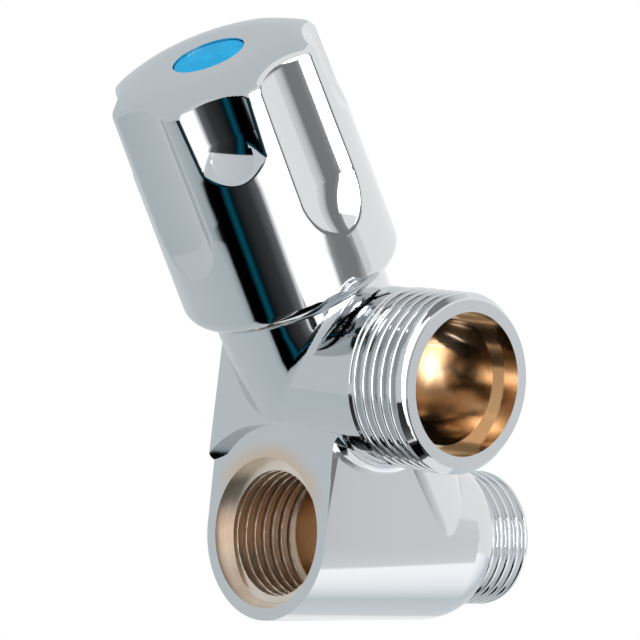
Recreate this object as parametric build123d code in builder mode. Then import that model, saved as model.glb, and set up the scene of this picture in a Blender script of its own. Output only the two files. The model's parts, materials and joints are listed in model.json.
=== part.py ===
from build123d import *
import os
from math import cos, radians, sin, sqrt, tan

# Appliance valve for a washing machine or dishwasher: a plated brass casting with a straight run,
# an outlet branch at right angles and a leaning neck that holds a non-rising screw-down headwork.
# The origin is the middle of the inlet thread's shoulder, +Y points into the wall supply, +X leaves
# through the outlet and +Z is up. Lengths are millimetres and angles are degrees.
# A station is a distance along the leaning stem axis, counted from where it crosses the run axis.

# Clearances and fits
running_clearance = 0.05
thread_clearance = 0.05
seat_gap = 0.05
skirt_clearance = 0.4
cap_clearance = 0.12
ring_clearance = 0.02

# Run of the casting, with the tap socket in front and the inlet thread behind
run_radius = 13.0
run_length = 37.4
run_bore_radius = 8.7
inlet_thread_radius = 10.478
inlet_thread_length = 9.2
inlet_thread_chamfer = 0.6
inlet_shoulder_round = 5.4
inlet_bore_radius = 7.6
inlet_bore_depth = 17.0
tap_mouth_radius = 11.17
tap_mouth_depth = 2.0
tap_thread_radius = 9.316
tap_thread_length = 12.3
tap_spot_face_radius = 16.0

# Leaning neck and the throat that flares from it down to the run
stem_lean = 34.0
stem_setback = 11.3
neck_radius = 13.3
neck_draft = 0.45
neck_top = 46.4
throat_top = 41.0
throat_half_width = 12.95
throat_front = 29.3
throat_back = 3.0
throat_corner = 3.0
throat_neck_corner = 12.75
throat_lip = 0.1
throat_front_turn = 4.0

# Outlet branch
branch_station = 30.4
branch_reach = 29.6
branch_radius = 13.0
branch_thread_radius = 13.22
branch_thread_length = 11.0
branch_thread_chamfer = 1.05
branch_bore_radius = 9.2
branch_mouth_radius = 10.42
branch_mouth_depth = 3.9
branch_crotch_round = 2.0

# Valve chamber and seat inside the neck
chamber_radius = 9.3
chamber_floor = 21.0
seat_radius = 5.5
seat_lip_width = 1.1
seat_lip_foot = 0.6
seat_lip_height = 1.25
bonnet_thread_radius = 10.45
bonnet_thread_length = 8.1

# Bonnet of the headwork
gasket_thickness = 1.0
gasket_radius = 12.4
bonnet_collar_radius = 12.7
bonnet_collar_height = 1.5
bonnet_hex_flats = 21.0
bonnet_hex_height = 4.6
bonnet_nose_radius = 7.5
bonnet_nose_height = 6.5
bonnet_guide_radius = 8.9
bonnet_guide_length = 4.3
guide_hex_flats = 12.1
bonnet_roof = 10.0

# Spindle, its rings and its clip
spindle_screw_radius = 3.6
spindle_screw_length = 10.6
spindle_collar_radius = 5.7
spindle_collar_height = 1.5
spindle_journal_radius = 4.55
thrust_washer_thickness = 0.5
o_ring_cord_radius = 0.76
o_ring_groove_width = 1.9
o_ring_first = 2.2
o_ring_spacing = 4.0
clip_thickness = 0.9
clip_radius = 6.2
clip_opening = 4.0
clip_groove_radius = 3.5
spline_root_radius = 3.55
spline_tip_radius = 4.0
spline_tooth_width = 0.62
spline_teeth = 20
spline_start = 1.0

# Piston with the rubber seat washer
piston_lift = 5.0
piston_disc_radius = 7.6
piston_disc_height = 3.2
piston_hex_height = 14.0
washer_radius = 7.2
washer_thickness = 3.0
washer_screw_radius = 2.0
washer_screw_length = 6.0
washer_screw_recess = 1.4
washer_screw_head_radius = 3.7
washer_screw_head_height = 2.2

# Handle
handle_branch_gap = 1.38
handle_height = 37.7
handle_top_radius = 16.3
handle_foot_radius = 16.7
handle_foot_round = 2.6
handle_crown_radius = 8.0
handle_crown_drop = 2.0
handle_rim_round = 1.6
handle_wall = 2.1
handle_skirt_depth = 9.5
handle_roof = 6.2
hub_radius = 7.4
flute_radius = 0.8037 * handle_top_radius
flute_depth = 0.1227 * handle_top_radius
flute_edge_round = 1.0
long_flute_length = 27.4
short_flute_length = 13.8
short_flute_ramp_length = 6.0
short_flute_taper = 3.0
flute_pairs = 4

# Handle screw, lock washer and index cap
handle_screw_radius = 2.0
handle_screw_grip = 11.0
screw_head_radius = 3.8
screw_head_height = 2.6
screw_slot_width = 1.1
screw_slot_depth = 1.3
lock_washer_thickness = 0.8
lock_washer_radius = 3.6
lock_washer_split = 0.6
screw_web = 3.6
screw_headroom = 1.25
screw_end_gap = 0.4
screw_hole_clearance = 0.25
cap_radius = 5.46
cap_recess = 2.3
cap_sink = 0.3
cap_crown = 0.25
cap_skirt_radius = 4.7
cap_skirt_wall = 0.35
cap_skirt_length = 1.7

# Axes and planes that the pieces are drawn on
stem_direction = Vector(0, -sin(radians(stem_lean)), cos(radians(stem_lean)))
stem_side = Vector(0, cos(radians(stem_lean)), sin(radians(stem_lean)))
stem_origin = Vector(0, -stem_setback, 0)
stem_axis = Axis(stem_origin, stem_direction)
stem_plane = Plane(stem_origin, x_dir=(1, 0, 0), z_dir=stem_direction)
stem_section = Plane(stem_origin, x_dir=(1, 0, 0), z_dir=-stem_side)
tap_face = -run_length
branch_centre = stem_origin + stem_direction * branch_station
branch_axis = Axis(branch_centre, (1, 0, 0))
branch_section = Plane(branch_centre, x_dir=(1, 0, 0), z_dir=-stem_side)

# Stations of the headwork, stacked upwards from the seat and the neck's top face
seat_station = chamber_floor + seat_lip_height
bonnet_thread_foot = neck_top - bonnet_thread_length
bonnet_seat = neck_top + gasket_thickness
bonnet_hex_foot = bonnet_seat + bonnet_collar_height
bonnet_hex_top = bonnet_hex_foot + bonnet_hex_height
bonnet_top = bonnet_hex_top + bonnet_nose_height
bonnet_foot = bonnet_thread_foot - bonnet_guide_length
guide_roof = bonnet_top - bonnet_roof
collar_top = guide_roof - thrust_washer_thickness
collar_foot = collar_top - spindle_collar_height
spindle_foot = collar_foot - spindle_screw_length
washer_foot = seat_station + seat_gap
piston_foot = washer_foot + washer_thickness
piston_top = piston_foot + piston_disc_height + piston_hex_height
clip_foot = bonnet_top + running_clearance
clip_top = clip_foot + clip_thickness
spline_foot = clip_top + spline_start
hub_foot = spline_foot
handle_bottom = branch_station + branch_thread_radius + handle_branch_gap
handle_top = handle_bottom + handle_height
cap_seat = handle_top - cap_recess
screw_head_foot = cap_seat - screw_headroom - screw_head_height
screw_seat = screw_head_foot - lock_washer_thickness
spline_socket_top = screw_seat - screw_web
spindle_top = spline_socket_top - screw_end_gap
spline_length = spindle_top - spline_foot
washer_screw_head_top = washer_foot + washer_screw_recess
washer_screw_depth = washer_screw_length - (washer_thickness - washer_screw_recess) + screw_end_gap
piston_bore_depth = piston_top + piston_lift + screw_end_gap - spindle_foot

# Radii that follow from a mating piece and a clearance
spindle_bore_radius = spindle_journal_radius + running_clearance
o_ring_centre_radius = spindle_bore_radius - ring_clearance - o_ring_cord_radius
o_ring_groove_radius = o_ring_centre_radius - o_ring_cord_radius - ring_clearance
o_ring_stations = [guide_roof + o_ring_first, guide_roof + o_ring_first + o_ring_spacing]
handle_skirt_radius = neck_radius + skirt_clearance
handle_cavity_radius = handle_top_radius - flute_depth - handle_wall

# Waterway of the run: socket mouth, tap thread core, gallery and inlet bore, as one turned void
with BuildPart() as run_waterway:
    with BuildSketch(Plane.XY):
        with BuildLine():
            thread_start = tap_face + tap_mouth_depth
            thread_end = thread_start + tap_thread_length
            inlet_bore_foot = inlet_thread_length - inlet_bore_depth
            Polyline(
                (0, tap_face),
                (tap_mouth_radius, tap_face),
                (tap_mouth_radius, thread_start),
                (tap_thread_radius, thread_start),
                (tap_thread_radius, thread_end),
                (run_bore_radius, thread_end),
                (run_bore_radius, inlet_bore_foot),
                (inlet_bore_radius, inlet_bore_foot),
                (inlet_bore_radius, inlet_thread_length),
                (0, inlet_thread_length),
                close=True,
            )
        make_face()
    revolve(axis=Axis.Y)

# Waterway of the stem: seat hole, raised seat lip, chamber and the thread core for the bonnet
with BuildPart() as stem_waterway:
    with BuildSketch(stem_section):
        with BuildLine():
            lip_radius = seat_radius + seat_lip_width
            bonnet_core_radius = bonnet_thread_radius + thread_clearance
            Polyline(
                (0, 0),
                (seat_radius, 0),
                (seat_radius, seat_station),
                (lip_radius, seat_station),
                (lip_radius + seat_lip_foot, chamber_floor),
                (chamber_radius, chamber_floor),
                (chamber_radius, bonnet_thread_foot),
                (bonnet_core_radius, bonnet_thread_foot),
                (bonnet_core_radius, neck_top),
                (0, neck_top),
                close=True,
            )
        make_face()
    revolve(axis=stem_axis)

# Waterway of the branch: a stepped bore from the outlet face into the chamber
with BuildPart() as branch_waterway:
    with BuildSketch(branch_section):
        with BuildLine():
            mouth_floor = branch_reach - branch_mouth_depth
            Polyline(
                (0, 0),
                (0, branch_bore_radius),
                (mouth_floor, branch_bore_radius),
                (mouth_floor, branch_mouth_radius),
                (branch_reach, branch_mouth_radius),
                (branch_reach, 0),
                close=True,
            )
        make_face()
    revolve(axis=branch_axis)

# Throat: flares from the neck's round to a flat-sided boss over the tap socket, ground flat in front
# at a slight angle, so that its lip stands proud of the tap face on the side away from the outlet
with BuildPart() as throat:
    with BuildSketch(Plane.XY):
        with Locations((0, -stem_setback + (throat_back - throat_front) / 2)):
            RectangleRounded(2 * throat_half_width, throat_front + throat_back, throat_corner)
    with BuildSketch(stem_plane.offset(throat_top)):
        RectangleRounded(2 * throat_half_width, 2 * throat_half_width, throat_neck_corner)
    loft()
    front_edge = (throat_half_width, tap_face - throat_lip, 0)
    front_plane = Plane(front_edge, x_dir=(1, 0, 0), z_dir=(0, -1, 0)).rotated((0, 0, throat_front_turn))
    split(bisect_by=front_plane, keep=Keep.BOTTOM)

# Valve body: run, neck, branch and the flared throat between them, cast as one piece
with BuildPart() as valve_body:
    with BuildSketch(stem_plane.offset(neck_top)):
        Circle(neck_radius)
    extrude(amount=-neck_top, taper=neck_draft)
    with BuildSketch(branch_section):
        with BuildLine():
            branch_thread_foot = branch_reach - branch_thread_length
            Polyline(
                (0, 0),
                (0, branch_radius),
                (branch_thread_foot, branch_radius),
                (branch_thread_foot, branch_thread_radius),
                (branch_reach - branch_thread_chamfer, branch_thread_radius),
                (branch_reach, branch_thread_radius - branch_thread_chamfer),
                (branch_reach, 0),
                close=True,
            )
        make_face()
    revolve(axis=branch_axis)
    add(throat.part)
    with BuildSketch(Plane.XY):
        with BuildLine():
            shoulder_start = -inlet_shoulder_round
            Line((0, tap_face), (run_radius, tap_face))
            Line((run_radius, tap_face), (run_radius, shoulder_start))
            shoulder_width = run_radius - inlet_thread_radius
            EllipticalCenterArc(
                (inlet_thread_radius, shoulder_start),
                shoulder_width,
                inlet_shoulder_round,
                start_angle=0,
                arc_size=90,
            )
            thread_end_radius = inlet_thread_radius - inlet_thread_chamfer
            Polyline(
                (inlet_thread_radius, 0),
                (inlet_thread_radius, inlet_thread_length - inlet_thread_chamfer),
                (thread_end_radius, inlet_thread_length),
                (0, inlet_thread_length),
                (0, tap_face),
            )
        make_face()
    revolve(axis=Axis.Y)
    with BuildSketch(Plane.XZ.offset(run_length)):
        Circle(tap_spot_face_radius)
    extrude(amount=run_length, mode=Mode.SUBTRACT)
    branch_crest = branch_section.from_local_coords((branch_thread_foot, branch_radius, 0))
    branch_wall = valve_body.faces().filter_by(GeomType.CYLINDER).sort_by_distance(branch_crest)[0]
    fillet(branch_wall.edges().filter_by(GeomType.BSPLINE), branch_crotch_round)
    add(run_waterway.part, mode=Mode.SUBTRACT)
    add(stem_waterway.part, mode=Mode.SUBTRACT)
    add(branch_waterway.part, mode=Mode.SUBTRACT)
valve_body.part.label = "valve_body"

# Bonnet gasket: flat fibre ring between the neck's top face and the bonnet's collar
with BuildPart() as bonnet_gasket:
    with BuildSketch(stem_plane.offset(neck_top)):
        Circle(gasket_radius)
        Circle(bonnet_thread_radius + thread_clearance, mode=Mode.SUBTRACT)
    extrude(amount=gasket_thickness)
bonnet_gasket.part.label = "bonnet_gasket"

# Bonnet: turned brass, screwed into the neck, with a spanner hex and a hexagonal guide for the piston
with BuildPart() as bonnet:
    with BuildSketch(stem_section):
        with BuildLine():
            Polyline(
                (0, bonnet_foot),
                (bonnet_guide_radius, bonnet_foot),
                (bonnet_guide_radius, bonnet_thread_foot),
                (bonnet_thread_radius, bonnet_thread_foot),
                (bonnet_thread_radius, bonnet_seat),
                (bonnet_collar_radius, bonnet_seat),
                (bonnet_collar_radius, bonnet_hex_foot),
                (bonnet_nose_radius, bonnet_hex_foot),
                (bonnet_nose_radius, bonnet_top),
                (0, bonnet_top),
                close=True,
            )
        make_face()
    revolve(axis=stem_axis)
    with BuildSketch(stem_plane.offset(bonnet_hex_foot)):
        RegularPolygon(bonnet_hex_flats / 2, 6, major_radius=False)
    extrude(amount=bonnet_hex_height)
    with BuildSketch(stem_plane.offset(bonnet_foot)):
        RegularPolygon(guide_hex_flats / 2, 6, major_radius=False)
    extrude(amount=guide_roof - bonnet_foot, mode=Mode.SUBTRACT)
    with BuildSketch(stem_plane.offset(guide_roof)):
        Circle(spindle_bore_radius)
    extrude(amount=bonnet_roof, mode=Mode.SUBTRACT)
bonnet.part.label = "bonnet"

# Spindle: turned brass, screw end below, thrust collar, ringed journal and a splined head for the handle
with BuildPart() as spindle:
    with BuildSketch(stem_section):
        with BuildLine():
            groove_points = []
            for ring_middle in o_ring_stations:
                groove_points += [
                    (spindle_journal_radius, ring_middle - o_ring_groove_width / 2),
                    (o_ring_groove_radius, ring_middle - o_ring_groove_width / 2),
                    (o_ring_groove_radius, ring_middle + o_ring_groove_width / 2),
                    (spindle_journal_radius, ring_middle + o_ring_groove_width / 2),
                ]
            Polyline(
                (0, spindle_foot),
                (spindle_screw_radius, spindle_foot),
                (spindle_screw_radius, collar_foot),
                (spindle_collar_radius, collar_foot),
                (spindle_collar_radius, collar_top),
                (spindle_journal_radius, collar_top),
                *groove_points,
                (spindle_journal_radius, clip_foot),
                (clip_groove_radius, clip_foot),
                (clip_groove_radius, clip_top + running_clearance),
                (spline_tip_radius, clip_top + running_clearance),
                (spline_tip_radius, spline_foot),
                (spline_root_radius, spline_foot),
                (spline_root_radius, spindle_top),
                (0, spindle_top),
                close=True,
            )
        make_face()
    revolve(axis=stem_axis)
    with BuildSketch(stem_plane.offset(spline_foot)):
        with PolarLocations((spline_root_radius + spline_tip_radius) / 2, spline_teeth):
            Rectangle(spline_tip_radius - spline_root_radius + spline_tooth_width, spline_tooth_width)
        Circle(spline_tip_radius, mode=Mode.INTERSECT)
    extrude(amount=spline_length)
    with BuildSketch(stem_plane.offset(spindle_top)):
        Circle(handle_screw_radius + thread_clearance)
    extrude(amount=-handle_screw_grip - screw_end_gap, mode=Mode.SUBTRACT)
spindle.part.label = "spindle"

# Spindle rings: two rubber O-rings in the journal's grooves
spindle_o_rings = {}
for ring_name, ring_middle in zip(("spindle_o_ring_lower", "spindle_o_ring_upper"), o_ring_stations):
    with BuildPart() as o_ring:
        with BuildSketch(stem_section):
            with Locations((o_ring_centre_radius, ring_middle)):
                Circle(o_ring_cord_radius)
        revolve(axis=stem_axis)
    o_ring.part.label = ring_name
    spindle_o_rings[ring_name] = o_ring.part

# Thrust washer: thin bronze ring between the spindle's collar and the bonnet's roof
with BuildPart() as thrust_washer:
    with BuildSketch(stem_plane.offset(collar_top)):
        Circle(spindle_collar_radius)
        Circle(spindle_journal_radius + running_clearance, mode=Mode.SUBTRACT)
    extrude(amount=thrust_washer_thickness - running_clearance)
thrust_washer.part.label = "thrust_washer"

# Retaining clip: open spring ring in the spindle's top groove, above the bonnet's nose
with BuildPart() as retaining_clip:
    with BuildSketch(stem_plane.offset(clip_foot)):
        Circle(clip_radius)
        Circle(clip_groove_radius + running_clearance, mode=Mode.SUBTRACT)
        with Locations((clip_radius, 0)):
            Rectangle(2 * clip_radius, clip_opening, mode=Mode.SUBTRACT)
    extrude(amount=clip_thickness)
retaining_clip.part.label = "retaining_clip"

# Piston: brass, its hexagon slides in the bonnet's guide and its disc carries the seat washer
with BuildPart() as piston:
    with BuildSketch(stem_plane.offset(piston_foot)):
        Circle(piston_disc_radius)
    extrude(amount=piston_disc_height)
    with BuildSketch(stem_plane.offset(piston_foot)):
        RegularPolygon(guide_hex_flats / 2 - running_clearance, 6, major_radius=False)
    extrude(amount=piston_top - piston_foot)
    with BuildSketch(stem_plane.offset(piston_top)):
        Circle(spindle_screw_radius + thread_clearance)
    extrude(amount=-piston_bore_depth, mode=Mode.SUBTRACT)
    with BuildSketch(stem_plane.offset(piston_foot)):
        Circle(washer_screw_radius + thread_clearance)
    extrude(amount=washer_screw_depth, mode=Mode.SUBTRACT)
piston.part.label = "piston"

# Seat washer: rubber disc under the piston, recessed for its screw
with BuildPart() as seat_washer:
    with BuildSketch(stem_plane.offset(washer_foot)):
        Circle(washer_radius)
        Circle(washer_screw_radius + thread_clearance, mode=Mode.SUBTRACT)
    extrude(amount=washer_thickness)
    with BuildSketch(stem_plane.offset(washer_foot)):
        Circle(washer_screw_head_radius + thread_clearance)
    extrude(amount=washer_screw_recess, mode=Mode.SUBTRACT)
seat_washer.part.label = "seat_washer"

# Washer screw: holds the seat washer to the piston from below
with BuildPart() as washer_screw:
    with BuildSketch(stem_plane.offset(washer_screw_head_top)):
        Circle(washer_screw_head_radius)
    extrude(amount=-washer_screw_head_height)
    with BuildSketch(stem_plane.offset(washer_screw_head_top)):
        Circle(washer_screw_radius)
    extrude(amount=washer_screw_length)
    with BuildSketch(stem_plane.offset(washer_screw_head_top - washer_screw_head_height)):
        Rectangle(2 * washer_screw_head_radius, screw_slot_width)
    extrude(amount=screw_slot_depth, mode=Mode.SUBTRACT)
washer_screw.part.label = "washer_screw"

# Long flute: a round-nosed groove along the handle
long_flute_axis_radius = handle_top_radius - flute_depth + flute_radius
long_flute_runout = sqrt(flute_radius**2 - (long_flute_axis_radius - handle_top_radius) ** 2)
long_flute_nose = handle_top - long_flute_length + long_flute_runout
with BuildPart() as long_flute:
    with BuildSketch(stem_section):
        with BuildLine():
            flute_top = handle_top + flute_radius
            Line((long_flute_axis_radius, flute_top), (long_flute_axis_radius - flute_radius, flute_top))
            Line(
                (long_flute_axis_radius - flute_radius, flute_top),
                (long_flute_axis_radius - flute_radius, long_flute_nose),
            )
            RadiusArc(
                (long_flute_axis_radius - flute_radius, long_flute_nose),
                (long_flute_axis_radius, long_flute_nose - flute_radius),
                -flute_radius,
            )
            Line(
                (long_flute_axis_radius, long_flute_nose - flute_radius),
                (long_flute_axis_radius, flute_top),
            )
        make_face()
    revolve(axis=Axis(stem_section.from_local_coords((long_flute_axis_radius, 0, 0)), stem_direction))

# Short flute: a groove that grows shallower downwards and ends in a flat ramp
short_flute_straight = short_flute_length - short_flute_ramp_length
short_flute_rise = short_flute_straight * tan(radians(short_flute_taper))
crease_station = handle_top - short_flute_straight
crease_radius = handle_top_radius - flute_depth + short_flute_rise
with BuildPart() as short_flute:
    with BuildLine(stem_section) as short_flute_axis:
        run_over = 2 * flute_radius
        run_in = run_over * tan(radians(short_flute_taper))
        Line(
            (crease_radius + flute_radius - run_in, crease_station + run_over),
            (crease_radius + flute_radius + run_in, crease_station - run_over),
        )
    with BuildSketch(Plane(short_flute_axis.line @ 0, z_dir=short_flute_axis.line % 0)):
        Circle(flute_radius)
    sweep()
    with BuildLine(stem_section, mode=Mode.PRIVATE) as short_flute_ramp:
        Line((crease_radius, crease_station), (handle_top_radius, handle_top - short_flute_length))
    ramp_normal = (short_flute_ramp.line % 0).cross(stem_side)
    split(bisect_by=Plane(short_flute_ramp.line @ 0, z_dir=ramp_normal), keep=Keep.TOP)

# Handle: plated casting with a domed top, alternate long and short flutes and a hollow skirt over the neck
with BuildPart() as handle:
    with BuildSketch(stem_section) as handle_outline:
        with BuildLine():
            foot_start = (handle_foot_radius - handle_foot_round, handle_bottom)
            foot_end = (handle_foot_radius, handle_bottom + handle_foot_round)
            rim_corner = (handle_top_radius, handle_top - handle_crown_drop)
            crown_edge = (handle_crown_radius, handle_top)
            Line((0, handle_bottom), foot_start)
            RadiusArc(foot_start, foot_end, -handle_foot_round)
            Line(foot_end, rim_corner)
            TangentArc(crown_edge, rim_corner, tangent=(1, 0))
            Polyline(crown_edge, (0, handle_top), (0, handle_bottom))
        make_face()
        fillet(handle_outline.vertices().sort_by_distance(rim_corner)[0], handle_rim_round)
    revolve(axis=stem_axis)
    with BuildSketch(stem_section):
        with BuildLine():
            Polyline(
                (0, handle_bottom),
                (handle_skirt_radius, handle_bottom),
                (handle_skirt_radius, handle_bottom + handle_skirt_depth),
                (handle_cavity_radius, handle_bottom + handle_skirt_depth),
                (handle_cavity_radius, handle_top - handle_roof),
                (hub_radius, handle_top - handle_roof),
                (hub_radius, hub_foot),
                (0, hub_foot),
                close=True,
            )
        make_face()
    revolve(axis=stem_axis, mode=Mode.SUBTRACT)
    for turn in range(flute_pairs):
        add(long_flute.part.rotate(stem_axis, turn * 360 / flute_pairs), mode=Mode.SUBTRACT)
        add(short_flute.part.rotate(stem_axis, (turn + 0.5) * 360 / flute_pairs), mode=Mode.SUBTRACT)
    flute_edges = handle.edges().filter_by(GeomType.BSPLINE) + handle.edges().filter_by(GeomType.ELLIPSE)
    fillet(flute_edges, flute_edge_round)
    with BuildSketch(stem_plane.offset(hub_foot)):
        with PolarLocations((spline_root_radius + spline_tip_radius) / 2, spline_teeth):
            Rectangle(
                spline_tip_radius - spline_root_radius + spline_tooth_width,
                spline_tooth_width + 2 * running_clearance,
            )
        Circle(spline_tip_radius + running_clearance, mode=Mode.INTERSECT)
        Circle(spline_root_radius + running_clearance)
    extrude(amount=spline_socket_top - hub_foot, mode=Mode.SUBTRACT)
    with BuildSketch(stem_plane.offset(spline_socket_top)):
        Circle(handle_screw_radius + screw_hole_clearance)
    extrude(amount=screw_web, mode=Mode.SUBTRACT)
    with BuildSketch(stem_plane.offset(screw_seat)):
        Circle(cap_skirt_radius)
    extrude(amount=cap_seat - screw_seat, mode=Mode.SUBTRACT)
    with BuildSketch(stem_plane.offset(cap_seat)):
        Circle(cap_radius)
    extrude(amount=cap_recess, mode=Mode.SUBTRACT)
handle.part.label = "handle"

# Lock washer: split spring washer under the handle screw's head
with BuildPart() as lock_washer:
    with BuildSketch(stem_plane.offset(screw_seat)):
        Circle(lock_washer_radius)
        Circle(handle_screw_radius + thread_clearance, mode=Mode.SUBTRACT)
        with Locations((lock_washer_radius, 0)):
            Rectangle(2 * lock_washer_radius, lock_washer_split, mode=Mode.SUBTRACT)
    extrude(amount=lock_washer_thickness)
lock_washer.part.label = "lock_washer"

# Handle screw: slotted cheese head, screwed into the spindle under the index cap
with BuildPart() as handle_screw:
    with BuildSketch(stem_plane.offset(screw_head_foot)):
        Circle(screw_head_radius)
    extrude(amount=screw_head_height)
    with BuildSketch(stem_plane.offset(screw_head_foot)):
        Circle(handle_screw_radius)
    extrude(amount=spindle_top - handle_screw_grip - screw_head_foot)
    with BuildSketch(stem_plane.offset(screw_head_foot + screw_head_height)):
        Rectangle(2 * screw_head_radius, screw_slot_width)
    extrude(amount=-screw_slot_depth, mode=Mode.SUBTRACT)
handle_screw.part.label = "handle_screw"

# Index cap: blue plastic disc with a snap skirt, pressed into the handle's top
with BuildPart() as index_cap:
    with BuildSketch(stem_section):
        with BuildLine():
            cap_rim = cap_radius - cap_clearance
            cap_edge = handle_top - cap_sink
            skirt_outer = cap_skirt_radius - cap_clearance
            skirt_inner = skirt_outer - cap_skirt_wall
            Polyline(
                (0, cap_edge + cap_crown),
                (0, cap_seat),
                (skirt_inner, cap_seat),
                (skirt_inner, cap_seat - cap_skirt_length),
                (skirt_outer, cap_seat - cap_skirt_length),
                (skirt_outer, cap_seat),
                (cap_rim, cap_seat),
                (cap_rim, cap_edge),
            )
            TangentArc((0, cap_edge + cap_crown), (cap_rim, cap_edge), tangent=(1, 0))
        make_face()
    revolve(axis=stem_axis)
index_cap.part.label = "index_cap"

os.makedirs("parts", exist_ok=True)
for piece in (
    valve_body.part,
    bonnet_gasket.part,
    bonnet.part,
    spindle.part,
    *spindle_o_rings.values(),
    thrust_washer.part,
    retaining_clip.part,
    piston.part,
    seat_washer.part,
    washer_screw.part,
    handle.part,
    lock_washer.part,
    handle_screw.part,
    index_cap.part,
):
    export_step(piece, f"parts/{piece.label}.step")
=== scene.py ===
import json
from math import atan2, cos, hypot, pi, radians, sin, tan

import bmesh
import bpy
from mathutils import Matrix, Vector
from mathutils.bvhtree import BVHTree
from mathutils.interpolate import poly_3d_calc


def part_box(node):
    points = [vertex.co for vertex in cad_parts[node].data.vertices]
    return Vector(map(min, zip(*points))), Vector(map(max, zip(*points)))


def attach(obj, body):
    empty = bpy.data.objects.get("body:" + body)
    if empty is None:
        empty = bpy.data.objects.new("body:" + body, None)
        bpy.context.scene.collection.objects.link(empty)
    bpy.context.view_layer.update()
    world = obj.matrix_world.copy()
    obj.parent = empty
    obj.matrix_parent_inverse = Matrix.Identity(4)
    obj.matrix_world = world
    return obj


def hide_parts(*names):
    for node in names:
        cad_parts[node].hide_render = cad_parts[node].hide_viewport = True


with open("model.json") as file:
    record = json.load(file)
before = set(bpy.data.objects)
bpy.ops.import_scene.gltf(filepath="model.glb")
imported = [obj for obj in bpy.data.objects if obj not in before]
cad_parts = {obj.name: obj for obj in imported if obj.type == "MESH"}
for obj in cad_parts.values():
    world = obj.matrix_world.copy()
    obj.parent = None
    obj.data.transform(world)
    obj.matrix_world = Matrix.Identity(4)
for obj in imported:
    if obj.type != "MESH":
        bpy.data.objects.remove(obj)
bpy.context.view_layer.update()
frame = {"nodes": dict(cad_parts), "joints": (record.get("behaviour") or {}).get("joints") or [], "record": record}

# Valve body
# One brass casting, polished and chrome plated outside, with bores and pipe threads turned afterwards.
# The plating stops at the bores, so the water side is bare brass.
MM = 0.001
mounts = {mount["name"]: mount for mount in frame["record"]["mounts"]}


def mount_line(name):
    """A mount's middle and direction."""
    return Vector(mounts[name]["pos_m"]), Vector(mounts[name]["axis"])


def linear(hex_colour):
    """The linear RGBA of an sRGB hex colour."""
    parts = [int(hex_colour[i:i + 2], 16) / 255 for i in (1, 3, 5)]
    return [c / 12.92 if c <= 0.04045 else ((c + 0.055) / 1.055) ** 2.4 for c in parts] + [1]


def node(tree, kind, inputs=(), **settings):
    """Adds a node, sets its properties and gives its inputs a value or a link, by name or place."""
    made = tree.nodes.new(kind)
    for name, value in settings.items():
        setattr(made, name, value)
    for key, value in (inputs.items() if isinstance(inputs, dict) else enumerate(inputs)):
        socket = made.inputs[key]
        if isinstance(key, str):
            socket = next(each for each in made.inputs if each.name == key and each.enabled)
        if isinstance(value, bpy.types.Node):
            value = next(out for out in value.outputs if out.enabled)
        if isinstance(value, bpy.types.NodeSocket):
            tree.links.new(value, socket)
        else:
            socket.default_value = value
    return made


def new_material(name):
    """An empty node material of that name, and its tree."""
    material = bpy.data.materials.new(name)
    material.use_nodes = True
    material.node_tree.nodes.clear()
    return material, material.node_tree


# Bright chrome plate over a hand-polished casting: a near mirror with a faint polishing haze
plate_colour = linear("#D8DADC")
chrome, tree = new_material("bright_chrome_plate")
place = node(tree, "ShaderNodeTexCoord").outputs["Object"]
polish_waves = node(tree, "ShaderNodeTexNoise", {"Vector": place, "Scale": 1 / (9 * MM), "Detail": 2.0})
haze = node(tree, "ShaderNodeTexNoise", {"Vector": place, "Scale": 1 / (2.5 * MM), "Detail": 4.0})
haze_roughness = node(tree, "ShaderNodeMapRange", {"Value": haze, "To Min": 0.035, "To Max": 0.075})
waviness = node(tree, "ShaderNodeBump", {"Height": polish_waves, "Strength": 0.005, "Distance": 0.3 * MM})
plating = node(tree, "ShaderNodeBsdfPrincipled", {
    "Base Color": plate_colour, "Metallic": 1.0, "Roughness": haze_roughness, "Normal": waviness})
node(tree, "ShaderNodeOutputMaterial", {"Surface": plating})


def turned_brass(name, axis, dark="#DCC0A2", light="#EEDAC3", roughness=0.15):
    """Bare brass, half bright, with a boring tool's rings across the axis, drawn coarse enough to show."""
    material, tree = new_material(name)
    place = node(tree, "ShaderNodeTexCoord").outputs["Object"]
    along = node(tree, "ShaderNodeVectorMath", [place, axis], operation="DOT_PRODUCT").outputs["Value"]
    rings = node(tree, "ShaderNodeTexNoise", {"W": along, "Scale": 1 / (0.35 * MM), "Detail": 3.0},
                 noise_dimensions="1D")
    stain = node(tree, "ShaderNodeTexNoise", {"Vector": place, "Scale": 1 / (6 * MM), "Detail": 3.0})
    mixed = node(tree, "ShaderNodeMix", {"Factor": 0.45, "A": stain.outputs["Fac"], "B": rings.outputs["Fac"]})
    tone = node(tree, "ShaderNodeValToRGB", {"Fac": mixed})
    tone.color_ramp.elements[0].position = 0.3
    tone.color_ramp.elements[0].color = linear(dark)
    tone.color_ramp.elements[1].position = 0.7
    tone.color_ramp.elements[1].color = linear(light)
    tool_marks = node(tree, "ShaderNodeBump", {"Height": rings, "Strength": 0.2, "Distance": 0.02 * MM})
    brass = node(tree, "ShaderNodeBsdfPrincipled", {
        "Base Color": tone, "Metallic": 1.0, "Roughness": roughness, "Normal": tool_marks})
    node(tree, "ShaderNodeOutputMaterial", {"Surface": brass})
    return material


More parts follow.
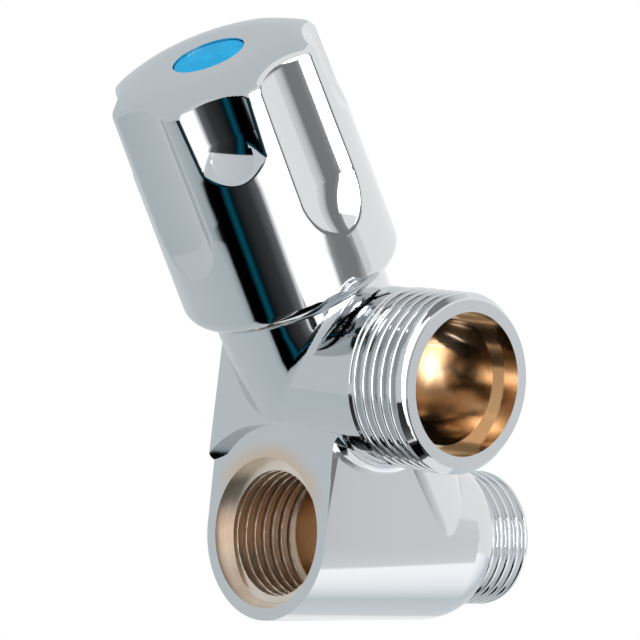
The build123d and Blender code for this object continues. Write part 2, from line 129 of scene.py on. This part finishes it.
# Plating worn thin round the tap mouth, where the brass begins to show through above it
tap_middle, tap_axis = mount_line("tap_socket")
spot_face_depth = 2.0 * MM
tap_face = tap_middle + tap_axis * spot_face_depth
worn_plate, tree = new_material("worn_chrome_plate")
place = node(tree, "ShaderNodeTexCoord").outputs["Object"]
smudge = node(tree, "ShaderNodeTexNoise", {"Vector": place, "Scale": 1 / (4 * MM), "Detail": 3.0})
off_axis = node(tree, "ShaderNodeVectorMath", [place, tap_face], operation="DISTANCE").outputs["Value"]
near_rim = node(tree, "ShaderNodeMapRange", {
    "Value": off_axis, "From Min": 11.2 * MM, "From Max": 14.4 * MM, "To Min": 1.0, "To Max": 0.0},
    interpolation_type="SMOOTHSTEP")
height = node(tree, "ShaderNodeSeparateXYZ", [place]).outputs["Z"]
upper = node(tree, "ShaderNodeMapRange", {
    "Value": height, "From Min": 3 * MM, "From Max": 9 * MM, "To Min": 0.0, "To Max": 1.0},
    interpolation_type="SMOOTHSTEP")
uneven = node(tree, "ShaderNodeMapRange", {"Value": smudge, "To Min": 0.8, "To Max": 1.2})
rubbed = node(tree, "ShaderNodeMath", [near_rim, upper], operation="MULTIPLY")
worn = node(tree, "ShaderNodeMath", [rubbed, uneven], operation="MULTIPLY", use_clamp=True)
tint = node(tree, "ShaderNodeMix", {
    "Factor": worn, "A": plate_colour, "B": linear("#E2CCB9")}, data_type="RGBA")
plating = node(tree, "ShaderNodeBsdfPrincipled", {"Base Color": tint, "Metallic": 1.0, "Roughness": 0.07})
node(tree, "ShaderNodeOutputMaterial", {"Surface": plating})

# Pipe threads: 14 to the inch with rounded crests and roots at 55 degrees, cut by helical tools
inch = 25.4 * MM
thread_pitch = inch / 14
thread_depth = 0.6403 * thread_pitch


def thread_tree():
    """Nodes that bend a grid into a closed helical cutter along +Z, male ones hollow and female ones solid."""
    closing_share = 0.02
    seam_share = 0.001
    tree = bpy.data.node_groups.new("pipe_thread", "GeometryNodeTree")
    for name, value in (("Crest Radius", 0.01), ("Depth", 0.001), ("Pitch", 0.0018), ("Length", 0.01),
                        ("Crest Wave", 0.9), ("Root Wave", -1.0), ("Back Radius", 0.0), ("Hollow", 0.0)):
        tree.interface.new_socket(name, in_out="INPUT", socket_type="NodeSocketFloat").default_value = value
    for name, value in (("Around", 160), ("Along", 120)):
        tree.interface.new_socket(name, in_out="INPUT", socket_type="NodeSocketInt").default_value = value
    tree.interface.new_socket("Material", in_out="INPUT", socket_type="NodeSocketMaterial")
    tree.interface.new_socket("Geometry", in_out="OUTPUT", socket_type="NodeSocketGeometry")
    given = node(tree, "NodeGroupInput").outputs
    grid = node(tree, "GeometryNodeMeshGrid", {
        "Size X": 1.0, "Size Y": 1.0, "Vertices X": given["Around"], "Vertices Y": given["Along"]})
    spot = node(tree, "ShaderNodeSeparateXYZ", [node(tree, "GeometryNodeInputPosition")])
    share_around = node(tree, "ShaderNodeMath", [spot.outputs["X"], 0.5], operation="ADD")
    share_along = node(tree, "ShaderNodeMath", [spot.outputs["Y"], 0.5], operation="ADD")
    # the first and last few rows of the grid close the cutter, so the thread fills the middle ones
    stretched = node(tree, "ShaderNodeMapRange", {
        "Value": share_along, "From Min": closing_share, "From Max": 1 - closing_share,
        "To Min": 0.0, "To Max": 1.0})
    height = node(tree, "ShaderNodeMath", [stretched, given["Length"]], operation="MULTIPLY")
    turns = node(tree, "ShaderNodeMath", [height, given["Pitch"]], operation="DIVIDE")
    phase = node(tree, "ShaderNodeMath", [turns, share_around], operation="SUBTRACT")
    angle = node(tree, "ShaderNodeMath", [phase, 2 * pi], operation="MULTIPLY")
    wave = node(tree, "ShaderNodeMath", [angle], operation="COSINE")
    groove = node(tree, "ShaderNodeMapRange", {
        "Value": wave, "From Min": given["Crest Wave"], "From Max": given["Root Wave"],
        "To Min": 0.0, "To Max": 1.0},
        interpolation_type="SMOOTHSTEP")
    sunk = node(tree, "ShaderNodeMath", [groove, given["Depth"]], operation="MULTIPLY")
    threaded = node(tree, "ShaderNodeMath", [given["Crest Radius"], sunk], operation="SUBTRACT")
    off_middle = node(tree, "ShaderNodeMath", [spot.outputs["Y"]], operation="ABSOLUTE")
    closing = node(tree, "ShaderNodeMath", [off_middle, 0.5001 - closing_share], operation="GREATER_THAN")
    seam = node(tree, "ShaderNodeMath", [off_middle, 0.5 - seam_share], operation="GREATER_THAN")
    outer_seam = node(tree, "ShaderNodeMath", [seam, given["Hollow"]], operation="MULTIPLY")
    half_way = node(tree, "ShaderNodeMath", [given["Length"], 0.5], operation="MULTIPLY")
    level = node(tree, "ShaderNodeMix", {"Factor": outer_seam, "A": height, "B": half_way})
    radius = node(tree, "ShaderNodeMix", {"Factor": closing, "A": threaded, "B": given["Back Radius"]})
    bearing = node(tree, "ShaderNodeMath", [share_around, 2 * pi], operation="MULTIPLY")
    across = node(tree, "ShaderNodeMath", [bearing], operation="COSINE")
    aside = node(tree, "ShaderNodeMath", [bearing], operation="SINE")
    bent = node(tree, "ShaderNodeCombineXYZ", [
        node(tree, "ShaderNodeMath", [across, radius], operation="MULTIPLY"),
        node(tree, "ShaderNodeMath", [aside, radius], operation="MULTIPLY"),
        level])
    shaped = node(tree, "GeometryNodeSetPosition", {"Geometry": grid.outputs["Mesh"], "Position": bent})
    welded = node(tree, "GeometryNodeMergeByDistance", {"Geometry": shaped, "Distance": 0.002 * MM})
    real = node(tree, "GeometryNodeRealizeInstances", [welded])
    painted = node(tree, "GeometryNodeSetMaterial", {"Geometry": real, "Material": given["Material"]})
    node(tree, "NodeGroupOutput", [painted])
    return tree


pipe_thread = thread_tree()


def made_by_nodes(name, tree, sizes, place):
    """A plain mesh object of a node tree with these sizes, moved to its place."""
    holder = bpy.data.objects.new(name, bpy.data.meshes.new(name))
    bpy.context.scene.collection.objects.link(holder)
    modifier = holder.modifiers.new(name, "NODES")
    modifier.node_group = tree
    sockets = {item.name: item.identifier for item in tree.interface.items_tree}
    for size, value in sizes.items():
        modifier[sockets[size]] = value
    mesh = bpy.data.meshes.new_from_object(holder.evaluated_get(bpy.context.evaluated_depsgraph_get()))
    holder.modifiers.remove(modifier)
    mesh.transform(place)
    holder.data = mesh
    work = bmesh.new()
    work.from_mesh(mesh)
    bmesh.ops.recalc_face_normals(work, faces=work.faces)
    work.to_mesh(mesh)
    work.free()
    return holder


def thread_place(origin, direction):
    """The place of a cutter that starts at the origin and runs in that direction."""
    return Matrix.Translation(origin) @ Vector(direction).to_track_quat("Z", "Y").to_matrix().to_4x4()


def thread_normal(sizes, place, corner):
    """The normal of the true helix at a corner of a thread's wall, or None off that wall."""
    wall_slack = 0.03 * MM
    local = place.inverted() @ corner
    reach, bearing = hypot(local.x, local.y), atan2(local.y, local.x)
    angle = 2 * pi * local.z / sizes["Pitch"] - bearing
    span = sizes["Root Wave"] - sizes["Crest Wave"]
    share = min(max((cos(angle) - sizes["Crest Wave"]) / span, 0), 1)
    wall = sizes["Crest Radius"] - sizes["Depth"] * share ** 2 * (3 - 2 * share)
    if abs(wall - reach) > wall_slack or not 0 < local.z < sizes["Length"]:
        return None
    slope = sizes["Depth"] * 12 * pi * share * (1 - share) * sin(angle) / span
    outward = Vector((cos(bearing), sin(bearing), -slope / sizes["Pitch"]))
    outward += Vector((-sin(bearing), cos(bearing), 0)) * slope / (2 * pi * reach)
    return place.to_3x3() @ outward.normalized()


run_brass = turned_brass("turned_brass_run", (0, 1, 0), "#E2CEBA", "#F6EBE0", 0.3)
# A darker copy of the run's brass for the tap bore beyond its thread: painted shade standing in for the shadow
# deep inside the bore
deep_bore_shade_brass = turned_brass("deep_bore_shade_brass_run", (0, 1, 0), "#A27A54", "#C09A72", 0.32)
outlet_brass = turned_brass("turned_brass_outlet", (1, 0, 0), "#DBBD9B", "#EDD8BE", 0.13)


def cut_copy(name, cad_node, cutters):
    """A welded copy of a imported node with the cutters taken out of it."""
    weld_gap = 0.001 * MM
    made = bpy.data.objects.new(name, cad_node.data.copy())
    bpy.context.scene.collection.objects.link(made)
    work = bmesh.new()
    work.from_mesh(made.data)
    bmesh.ops.remove_doubles(work, verts=work.verts, dist=weld_gap)
    work.to_mesh(made.data)
    work.free()
    for cutter in cutters:
        cut = made.modifiers.new(cutter.name, "BOOLEAN")
        cut.operation, cut.solver, cut.object = "DIFFERENCE", "MANIFOLD", cutter
    made.data = bpy.data.meshes.new_from_object(made.evaluated_get(bpy.context.evaluated_depsgraph_get()))
    made.modifiers.clear()
    for cutter in cutters:
        bpy.data.objects.remove(cutter)
    return made


def polish(made, cad_node, wall_normal):
    """Smooth normals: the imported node's own on its skin, and wall_normal's on what was cut."""
    sharp_edge = radians(32)
    skin_gap = 0.004 * MM
    mesh, cast = made.data, cad_node.data
    for face in mesh.polygons:
        face.use_smooth = True
    mesh.set_sharp_from_angle(angle=sharp_edge)
    cast.calc_loop_triangles()
    triangles = [tuple(tri.vertices) for tri in cast.loop_triangles]
    corners = [tuple(tri.loops) for tri in cast.loop_triangles]
    skin = BVHTree.FromPolygons([v.co for v in cast.vertices], triangles, all_triangles=True)
    cast_normals = [n.vector.copy() for n in cast.corner_normals]
    normals = [n.vector.copy() for n in mesh.corner_normals]
    for face in mesh.polygons:
        for loop in face.loop_indices:
            corner = mesh.vertices[mesh.loops[loop].vertex_index].co
            found, normal, index, gap = skin.find_nearest(corner.lerp(face.center, 0.02))
            if gap < skin_gap and normal.dot(face.normal) > 0.9:
                weights = poly_3d_calc([cast.vertices[i].co for i in triangles[index]], found)
                parts = (cast_normals[k] * w for k, w in zip(corners[index], weights))
                normals[loop] = sum(parts, Vector()).normalized()
                continue
            true_normal = wall_normal(corner)
            if true_normal and abs(true_normal.dot(face.normal)) > 0.5:
                normals[loop] = true_normal if true_normal.dot(face.normal) > 0 else -true_normal
    mesh.normals_split_custom_set(normals)


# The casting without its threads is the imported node; a welded copy of it takes the three thread cuts
inlet_middle, inlet_axis = mount_line("inlet_thread")
outlet_middle, outlet_axis = mount_line("outlet_thread")
inlet_radius = mounts["inlet_thread"]["dims"]["r_mm"] * MM
outlet_radius = mounts["outlet_thread"]["dims"]["r_mm"] * MM
tap_radius = mounts["tap_socket"]["dims"]["r_mm"] * MM
tap_length = mounts["tap_socket"]["dims"]["length_mm"] * MM
inlet_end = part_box("valve_body")[1].y
outlet_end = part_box("valve_body")[1].x
outlet_chamfer = 1.05 * MM
outlet_length = mounts["outlet_thread"]["dims"]["length_mm"] * MM + outlet_chamfer
thread_runout = 0.3 * MM
tool_wall = 2 * MM

# A wall slopes from crest to root between the two waves, which are cosines of the turn
male = {
    "Depth": thread_depth, "Pitch": thread_pitch, "Crest Wave": 0.9, "Root Wave": -1.0, "Hollow": 1.0,
    "Around": 161, "Along": 120, "Material": chrome}
outlet_tool = {
    **male, "Crest Radius": outlet_radius, "Back Radius": outlet_radius + tool_wall,
    "Length": outlet_length + thread_runout}
inlet_tool = {
    **male, "Crest Radius": inlet_radius, "Back Radius": inlet_radius + tool_wall,
    "Length": inlet_end + thread_runout}
tap_tool = {
    **male, "Crest Radius": tap_radius + thread_depth, "Back Radius": 0.0, "Hollow": 0.0,
    "Length": tap_length + thread_runout, "Crest Wave": 1.0, "Root Wave": 0.1,
    "Around": 113, "Along": 180, "Material": run_brass}
threads = [
    (outlet_tool, thread_place((outlet_end - outlet_length, outlet_middle.y, outlet_middle.z), outlet_axis)),
    (inlet_tool, thread_place(inlet_middle, inlet_axis)),
    (tap_tool, thread_place(tap_middle - tap_axis * tap_length, tap_axis)),
]
body = cut_copy("valve_body_threaded", frame["nodes"]["valve_body"], [
    made_by_nodes("thread_tool", pipe_thread, sizes, place) for sizes, place in threads])

# The water side is bare brass: walls and steps that lie round a bore's axis within its reach and ends
stem = next(joint for joint in frame["joints"] if joint["name"] == "handle_turn")
stem_origin, stem_axis = Vector(stem["pos_m"]), Vector(stem["axis"])
stem_brass = turned_brass("turned_brass_stem", stem_axis, "#EDDFD0", "#F8F0E6", 0.28)
skins = [chrome, worn_plate, run_brass, deep_bore_shade_brass, outlet_brass, stem_brass]
body.data.materials.clear()
for skin in skins:
    body.data.materials.append(skin)
rim = 0.02 * MM
thread_end = spot_face_depth + tap_length + thread_runout
outlet_rim = outlet_end - outlet_middle.x - rim

# Each bore has its brass, a point and direction of its axis, its reach from that axis and its ends along it
bores = [
    (run_brass, tap_face, -tap_axis, 11.3 * MM, (rim, thread_end)),
    # the deep end of the tap bore takes the darker brass, painted shade for its shadow
    (deep_bore_shade_brass, tap_face, -tap_axis, 11.3 * MM, (thread_end, 31 * MM)),
    (run_brass, inlet_middle, inlet_axis, 8.0 * MM, (-10 * MM, inlet_end - rim)),
    (outlet_brass, outlet_middle, outlet_axis, 10.6 * MM, (-14 * MM, outlet_rim)),
    (stem_brass, stem_origin, stem_axis, 10.7 * MM, (2 * MM, 47 * MM)),
]


def skin_of(face):
    """The material of a face of the casting."""
    for skin, middle, axis, reach, ends in bores:
        along = (face.center - middle).dot(axis)
        away = face.center - middle - axis * along
        inward = face.normal.dot(away) < -0.2 * away.length
        step = abs(face.normal.dot(axis)) > 0.7
        if away.length < reach and ends[0] < along < ends[1] and (inward or step):
            return skin
    level = abs((face.center - tap_face).dot(tap_axis)) < rim
    return worn_plate if level and face.normal.dot(tap_axis) > 0.9 else chrome


for face in body.data.polygons:
    face.material_index = skins.index(skin_of(face))


def casting_normal(corner):
    """The helix's normal on any thread's wall, or None elsewhere."""
    return next(filter(None, (thread_normal(sizes, place, corner) for sizes, place in threads)), None)


polish(body, frame["nodes"]["valve_body"], casting_normal)
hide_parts("valve_body")
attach(body, "valve_body")

# Bonnet gasket
# Flat ring of vulcanised fibre, punched from sheet and pressed between the neck and the bonnet.


def dress(name, material):
    """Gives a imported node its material."""
    mesh = frame["nodes"][name].data
    mesh.materials.clear()
    mesh.materials.append(material)


# Vulcanised fibre: dull red brown with the flecks of pressed pulp
fibre, tree = new_material("vulcanised_fibre")
place = node(tree, "ShaderNodeTexCoord").outputs["Object"]
fleck = node(tree, "ShaderNodeTexNoise", {"Vector": place, "Scale": 1 / (0.4 * MM), "Detail": 4.0})
tone = node(tree, "ShaderNodeValToRGB", {"Fac": fleck})
tone.color_ramp.elements[0].color = linear("#6E2F22")
tone.color_ramp.elements[1].color = linear("#9C5540")
grain = node(tree, "ShaderNodeBump", {"Height": fleck, "Strength": 0.3, "Distance": 0.03 * MM})
sheet = node(tree, "ShaderNodeBsdfPrincipled", {"Base Color": tone, "Roughness": 0.7, "Normal": grain})
node(tree, "ShaderNodeOutputMaterial", {"Surface": sheet})
dress("bonnet_gasket", fibre)

# Bonnet
# Turned from hexagon brass bar and screwed into the neck; its guide keeps the piston from turning.
dress("bonnet", stem_brass)

# Spindle
# Turned brass with a screw below, ringed journal and splined head, held in the bonnet by a clip.
dress("spindle", stem_brass)

# Spindle rings
# Two moulded rubber rings in the journal's grooves, greased and lightly squeezed by the bonnet.
# The rubber is black with a grey bloom and a soft, uneven sheen.
rubber, tree = new_material("black_rubber")
place = node(tree, "ShaderNodeTexCoord").outputs["Object"]
bloom = node(tree, "ShaderNodeTexNoise", {"Vector": place, "Scale": 1 / (1.2 * MM), "Detail": 4.0})
tone = node(tree, "ShaderNodeValToRGB", {"Fac": bloom})
tone.color_ramp.elements[0].color = linear("#161617")
tone.color_ramp.elements[1].color = linear("#2A2A2B")
sheen = node(tree, "ShaderNodeMapRange", {"Value": bloom, "To Min": 0.42, "To Max": 0.62})
moulded = node(tree, "ShaderNodeBsdfPrincipled", {"Base Color": tone, "Roughness": sheen, "IOR": 1.52})
node(tree, "ShaderNodeOutputMaterial", {"Surface": moulded})
dress("spindle_o_ring_lower", rubber)
dress("spindle_o_ring_upper", rubber)

# Thrust washer
# Thin turned ring that takes the spindle's push against the bonnet's roof.
dress("thrust_washer", stem_brass)

# Retaining clip
# Open ring stamped from spring steel and snapped into the spindle's top groove.
# The rolled steel is grey and half dull, in small patches.
steel, tree = new_material("bright_steel")
place = node(tree, "ShaderNodeTexCoord").outputs["Object"]
rolled = node(tree, "ShaderNodeTexNoise", {"Vector": place, "Scale": 1 / (0.8 * MM), "Detail": 3.0})
tone = node(tree, "ShaderNodeValToRGB", {"Fac": rolled})
tone.color_ramp.elements[0].color = linear("#A2A3A4")
tone.color_ramp.elements[1].color = linear("#C4C5C6")
dull = node(tree, "ShaderNodeMapRange", {"Value": rolled, "To Min": 0.25, "To Max": 0.42})
strip = node(tree, "ShaderNodeBsdfPrincipled", {"Base Color": tone, "Metallic": 1.0, "Roughness": dull})
node(tree, "ShaderNodeOutputMaterial", {"Surface": strip})
dress("retaining_clip", steel)

# Piston
# Brass, its hexagon slides in the bonnet's guide and the spindle's screw drives it to the seat.
dress("piston", stem_brass)

# Seat washer
# Moulded rubber disc under the piston that closes on the seat's lip.
dress("seat_washer", rubber)

# Washer screw
# Slotted steel screw that holds the seat washer to the piston.
dress("washer_screw", steel)

# Handle
# Cast, polished and plated like the body, with long and short flutes; sits on the spindle's splines.
# A welded copy takes four ball-nosed scoops, which run the short flutes out into the side.


def scoop_tree():
    """Nodes that set a number of balls in a ring."""
    tree = bpy.data.node_groups.new("scoop_ring", "GeometryNodeTree")
    sizes = {"Count": "Int", "Ring Radius": "Float", "Ball Radius": "Float", "Material": "Material"}
    for name, kind in sizes.items():
        tree.interface.new_socket(name, in_out="INPUT", socket_type="NodeSocket" + kind)
    tree.interface.new_socket("Geometry", in_out="OUTPUT", socket_type="NodeSocketGeometry")
    given = node(tree, "NodeGroupInput").outputs
    ring = node(tree, "GeometryNodeMeshCircle", {"Vertices": given["Count"], "Radius": given["Ring Radius"]})
    ball = node(tree, "GeometryNodeMeshUVSphere", {
        "Segments": 160, "Rings": 100, "Radius": given["Ball Radius"]})
    balls = node(tree, "GeometryNodeInstanceOnPoints", {"Points": ring, "Instance": ball.outputs["Mesh"]})
    real = node(tree, "GeometryNodeRealizeInstances", [balls])
    painted = node(tree, "GeometryNodeSetMaterial", {"Geometry": real, "Material": given["Material"]})
    node(tree, "NodeGroupOutput", [painted])
    return tree


handle_node = frame["nodes"]["handle"]
handle_top = max((v.co - stem_origin).dot(stem_axis) for v in handle_node.data.vertices)
scoop_count = 4
scoop_drop = 7.5 * MM
scoop_level = handle_top - scoop_drop
ball_radius = 13.1 * MM
groove_top_floor = 14.3 * MM
groove_lean = radians(3)
overcut = 0.02 * MM
groove_floor = groove_top_floor + scoop_drop * tan(groove_lean)
ring_radius = groove_floor + ball_radius - overcut
stem_across = Vector((1, 0, 0))
stem_frame = Matrix((stem_across, stem_axis.cross(stem_across), stem_axis)).transposed()
scoop_turn = stem_frame @ Matrix.Rotation(pi / scoop_count, 3, "Z")
scoop_place = Matrix.Translation(stem_origin + stem_axis * scoop_level) @ scoop_turn.to_4x4()
scoop_sizes = {
    "Count": scoop_count, "Ring Radius": ring_radius, "Ball Radius": ball_radius, "Material": chrome}
scoops = made_by_nodes("scoop_tool", scoop_tree(), scoop_sizes, scoop_place)
ball_middles = []
for k in range(scoop_count):
    bearing = 2 * pi * k / scoop_count
    ball_middles.append(scoop_place @ Vector((ring_radius * cos(bearing), ring_radius * sin(bearing), 0)))
handle = cut_copy("handle_scooped", handle_node, [scoops])
handle.data.materials.clear()
handle.data.materials.append(chrome)
for face in handle.data.polygons:
    face.material_index = 0


def scoop_normal(corner):
    """The normal of the ball that cut a corner, or None elsewhere."""
    wall_slack = 0.03 * MM
    middle = min(ball_middles, key=lambda each: (corner - each).length)
    away = middle - corner
    return away.normalized() if abs(away.length - ball_radius) < wall_slack else None


polish(handle, handle_node, scoop_normal)
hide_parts("handle")
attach(handle, "handle")

# Lock washer
# Split spring steel washer under the handle screw.
dress("lock_washer", steel)

# Handle screw
# Slotted cheese head screw of steel that draws the handle on to the spindle.
dress("handle_screw", steel)

# Index cap
# Moulded blue plastic disc for cold water, pressed into the handle's top by its skirt.
# The plastic is a clear, even blue with a satin face and slight flow clouds.
blue, tree = new_material("blue_index_plastic")
place = node(tree, "ShaderNodeTexCoord").outputs["Object"]
cloud = node(tree, "ShaderNodeTexNoise", {"Vector": place, "Scale": 1 / (3 * MM), "Detail": 2.0})
tone = node(tree, "ShaderNodeValToRGB", {"Fac": cloud})
tone.color_ramp.elements[0].position = 0.3
tone.color_ramp.elements[0].color = linear("#0098CC")
tone.color_ramp.elements[1].position = 0.7
tone.color_ramp.elements[1].color = linear("#00A2D8")
disc = node(tree, "ShaderNodeBsdfPrincipled", {
    "Base Color": tone, "Roughness": 0.45, "IOR": 1.49, "Specular IOR Level": 0.12})
node(tree, "ShaderNodeOutputMaterial", {"Surface": disc})
dress("index_cap", blue)

# Studio
# A white surround over a pale floor, soft lamps, and a ring of tent panels that only mirror in the plating:
# pale grey on the left, black with a teal edge low in front, a bright strip and a grey panel on the right.


def shown_rays(tree):
    """1 for the rays that show the background, also in metal and glass, and 0 for those that only light."""
    ray = node(tree, "ShaderNodeLightPath").outputs
    seen = node(tree, "ShaderNodeMath", [ray["Is Camera Ray"], ray["Is Glossy Ray"]], operation="MAXIMUM")
    return node(tree, "ShaderNodeMath", [seen, ray["Is Transmission Ray"]], operation="MAXIMUM")


world = bpy.data.worlds.new("white_surround")
bpy.context.scene.world = world
world.use_nodes = True
tree = world.node_tree
tree.nodes.clear()
strength = node(tree, "ShaderNodeMapRange", {"Value": shown_rays(tree), "To Min": 0.55, "To Max": 1.0})
surround = node(tree, "ShaderNodeBackground", {"Color": linear("#FFFFFF"), "Strength": strength})
node(tree, "ShaderNodeOutputWorld", {"Surface": surround})
bpy.context.scene.view_settings.view_transform = "Standard"

tent_middle = Vector((0, -0.02, 0.03))
tent_radius = 0.9


def tent_point(azimuth, elevation, radius=tent_radius):
    """A point of the tent; azimuth 0 is in front of the tap socket and 90 beside the outlet, in degrees."""
    a, e = radians(azimuth), radians(elevation)
    return tent_middle + Vector((sin(a) * cos(e), -cos(a) * cos(e), sin(e))) * radius


def tent_panel(name, azimuths, elevations, stops):
    """A curved panel between those directions; stops are azimuths with their colour and brightness."""
    material, tree = new_material(name)
    across = node(tree, "ShaderNodeSeparateXYZ", [node(tree, "ShaderNodeUVMap", uv_map="tent")])
    fade = node(tree, "ShaderNodeValToRGB", {"Fac": across.outputs["X"]})
    first, last = azimuths
    ramp = fade.color_ramp.elements
    while len(ramp) < len(stops):
        ramp.new(0.5)
    for stop, (azimuth, colour, brightness) in zip(ramp, stops):
        stop.position = (azimuth - first) / (last - first)
        stop.color = [c * brightness for c in linear(colour)]
    glow = node(tree, "ShaderNodeEmission", {"Color": fade})
    node(tree, "ShaderNodeOutputMaterial", {"Surface": glow})
    steps_around, steps_up = 48, 16
    mesh = bpy.data.meshes.new(name)
    work = bmesh.new()
    uv = work.loops.layers.uv.new("tent")
    rows = []
    for j in range(steps_up + 1):
        elevation = elevations[0] + (elevations[1] - elevations[0]) * j / steps_up
        rows.append([work.verts.new(tent_point(first + (last - first) * i / steps_around, elevation))
                     for i in range(steps_around + 1)])
    for j in range(steps_up):
        for i in range(steps_around):
            face = work.faces.new([rows[j][i], rows[j][i + 1], rows[j + 1][i + 1], rows[j + 1][i]])
            for loop, (du, dv) in zip(face.loops, ((0, 0), (1, 0), (1, 1), (0, 1))):
                loop[uv].uv = ((i + du) / steps_around, (j + dv) / steps_up)
    work.to_mesh(mesh)
    work.free()
    mesh.materials.append(material)
    panel = bpy.data.objects.new(name, mesh)
    bpy.context.scene.collection.objects.link(panel)
    panel.visible_camera = False
    panel.visible_diffuse = False
    panel.visible_shadow = False


tent_panel("left_panel", (-135, 62), (-22, 75), [
    (-135, "#DCE0E2", 1), (-118, "#D2D8DB", 1), (20, "#D2D8DB", 1), (62, "#E6E8EA", 1)])
tent_panel("front_panel", (-135, 70), (-89, -22), [
    (-135, "#DCE0E2", 1), (-118, "#D2D8DB", 1), (-12, "#C2CCCF", 1), (-3, "#AEB8BB", 1), (2, "#010102", 1),
    (21, "#010104", 1), (28, "#0C5466", 1), (34, "#05181E", 1), (44, "#2E2E30", 1), (56, "#3C3D3F", 1),
    (66, "#707072", 1), (69, "#FFFFFF", 1)])
tent_panel("under_panel", (176, 250), (-89, -52), [
    (176, "#9A9C9C", 1), (184, "#060607", 1), (240, "#060607", 1), (250, "#9A9C9C", 1)])
tent_panel("low_panel", (70, 116), (-89, -36), [
    (70, "#3C3D3F", 1), (76, "#08080A", 1), (100, "#08080A", 1), (116, "#6C6C6E", 1)])
tent_panel("bright_strip", (69, 106), (-36, -8), [
    (69, "#FFFFFF", 1.5), (92, "#FFFFFF", 1.5), (103, "#FFFFFF", 1.5), (106, "#D0D0D0", 1)])
tent_panel("right_panel", (106, 140), (-36, 50), [
    (106, "#A2A2A3", 1), (112, "#8A8A8B", 1), (125, "#868787", 1), (129, "#C8CACA", 1), (133, "#E0E2E3", 1),
    (140, "#EEF0F1", 1)])
tent_panel("back_panel", (140, 215), (-51, -12), [
    (140, "#FFFFFF", 1.3), (156, "#FAFCFE", 1.15), (178, "#D8E0E6", 1), (215, "#E2E7EA", 1)])


def soft_lamp(name, azimuth, elevation, width, watts):
    """A square soft box on the tent's inside that faces the valve."""
    lamp = bpy.data.lights.new(name, "AREA")
    lamp.size, lamp.energy = width, watts
    holder = bpy.data.objects.new(name, lamp)
    bpy.context.scene.collection.objects.link(holder)
    holder.location = tent_point(azimuth, elevation, 0.8 * tent_radius)
    holder.rotation_euler = (holder.location - tent_middle).to_track_quat("Z", "Y").to_euler()
    return holder


for lamp in (soft_lamp("key_lamp", -124, 20, 0.14, 2.2), soft_lamp("top_lamp", 30, 72, 0.5, 2.7)):
    lamp.visible_glossy = False
soft_lamp("outlet_lamp", 84, 10, 0.6, 3.6)

# Floor
# A plain pale sheet far below the valve, which the photograph shows free on white.
floor_level = -1.2
floor_reach = 30.0
mesh = bpy.data.meshes.new("floor")
floor_sides = ((-1, -1), (1, -1), (1, 1), (-1, 1))
floor_corners = [(x * floor_reach, y * floor_reach, floor_level) for x, y in floor_sides]
mesh.from_pydata(floor_corners, [], [(0, 1, 2, 3)])
floor = bpy.data.objects.new("floor", mesh)
bpy.context.scene.collection.objects.link(floor)
pale, tree = new_material("pale_studio_floor")
matt = node(tree, "ShaderNodeBsdfDiffuse", {"Color": linear("#E6E6E4")})
white = node(tree, "ShaderNodeEmission", {"Color": linear("#FFFFFF")})
sheet = node(tree, "ShaderNodeMixShader", [shown_rays(tree), matt, white])
node(tree, "ShaderNodeOutputMaterial", {"Surface": sheet})
mesh.materials.append(pale)

# Camera
# Stands at the photograph's viewpoint: turned to the outlet side, almost level, rolled a little.
view_turn, view_rise, view_roll = radians(46.779), radians(0.804), radians(5.606)
view_distance = 488.0 * MM
view_offset = Vector((10.858, -33.081)) * MM
focal_pixels = 3175.47
image_pixels = 640
back = Vector((sin(view_turn) * cos(view_rise), -cos(view_turn) * cos(view_rise), sin(view_rise)))
right = Vector((cos(view_turn), sin(view_turn), 0))
up = back.cross(right)
rolled_right = right * cos(view_roll) + up * sin(view_roll)
rolled_up = up * cos(view_roll) - right * sin(view_roll)
lens = bpy.data.cameras.new("camera")
lens.sensor_width = 36
lens.lens = focal_pixels / image_pixels * lens.sensor_width
lens.clip_start, lens.clip_end = 0.01, 50
camera = bpy.data.objects.new("camera", lens)
bpy.context.scene.collection.objects.link(camera)
spot = stem_origin - rolled_right * view_offset.x - rolled_up * view_offset.y + back * view_distance
turned = Matrix((rolled_right, rolled_up, back)).transposed().to_4x4()
camera.matrix_world = Matrix.Translation(spot) @ turned
bpy.context.scene.camera = camera
